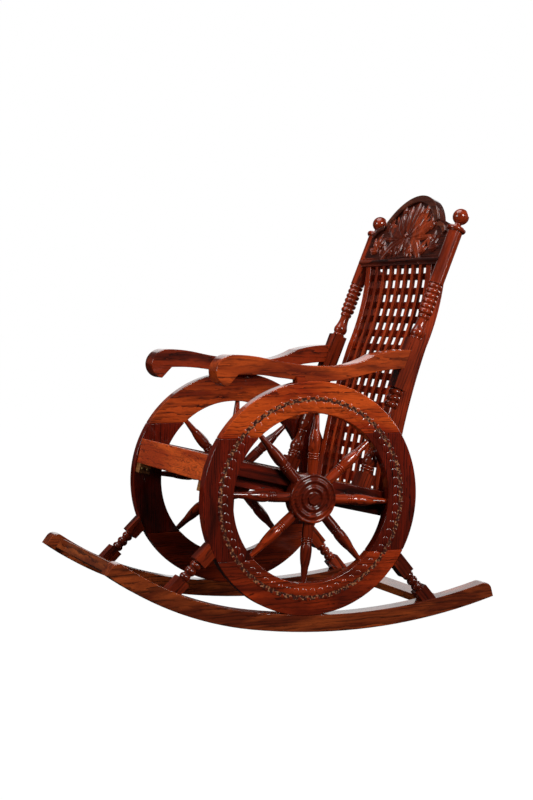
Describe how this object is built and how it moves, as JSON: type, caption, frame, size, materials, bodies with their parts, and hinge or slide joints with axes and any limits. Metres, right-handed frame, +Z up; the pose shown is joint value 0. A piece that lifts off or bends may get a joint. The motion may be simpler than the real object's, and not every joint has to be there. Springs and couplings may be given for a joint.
{
  "type": "rocking chair",
  "caption": "Wooden rocking chair with wheel-shaped sides, long curved rockers, turned posts, scroll arms and a carved crest over a lattice back.",
  "frame": {"origin": "centre of the overall box at floor level, under the rockers' lowest points", "axes": "+X the sitter's left, +Y towards the back, +Z up from the floor"},
  "size_m": [0.593, 1.112, 1.1669],
  "materials": {
    "rim_wood": "gloss varnish",
    "rocker_wood": "gloss varnish",
    "rail_wood": "gloss varnish",
    "slat_wood": "gloss varnish",
    "frame_wood": "gloss varnish",
    "block_wood": "satin",
    "packing": "satin",
    "screw": "dull"
  },
  "bodies": {
    "root": {"arm_left": "frame_wood", "arm_pad_left": "packing", "arm_pad_right": "packing", "arm_right": "frame_wood", "back_bottom_rail": "slat_wood", "back_cross_slats": "slat_wood", "back_stile_left": "slat_wood", "back_stile_right": "slat_wood", "back_upright_slats": "slat_wood", "bottom_felloe_left": "rim_wood", "bottom_felloe_right": "rim_wood", "corner_blocks": "block_wood", "corner_screws": "screw", "crest_panel": "frame_wood", "crest_rail": "frame_wood", "front_felloe_left": "rim_wood", "front_felloe_right": "rim_wood", "front_rail": "rail_wood", "front_stretcher": "frame_wood", "front_strut_left": "frame_wood", "front_strut_right": "frame_wood", "hub_left": "frame_wood", "hub_right": "frame_wood", "post_left": "frame_wood", "post_right": "frame_wood", "rear_felloe_left": "rim_wood", "rear_felloe_right": "rim_wood", "rear_rail": "frame_wood", "rear_stretcher": "frame_wood", "rear_strut_left": "frame_wood", "rear_strut_right": "frame_wood", "rocker_left": "rocker_wood", "rocker_right": "rocker_wood", "seat_battens": "slat_wood", "seat_bearer_left": "frame_wood", "seat_bearer_right": "frame_wood", "seat_slats": "slat_wood", "side_rail_left": "frame_wood", "side_rail_right": "frame_wood", "spoke_left_1": "frame_wood", "spoke_left_2": "frame_wood", "spoke_left_3": "frame_wood", "spoke_left_4": "frame_wood", "spoke_left_5": "frame_wood", "spoke_left_6": "frame_wood", "spoke_left_7": "frame_wood", "spoke_left_8": "frame_wood", "spoke_right_1": "frame_wood", "spoke_right_2": "frame_wood", "spoke_right_3": "frame_wood", "spoke_right_4": "frame_wood", "spoke_right_5": "frame_wood", "spoke_right_6": "frame_wood", "spoke_right_7": "frame_wood", "spoke_right_8": "frame_wood", "top_felloe_left": "rim_wood", "top_felloe_right": "rim_wood"}
  },
  "joints": []
}
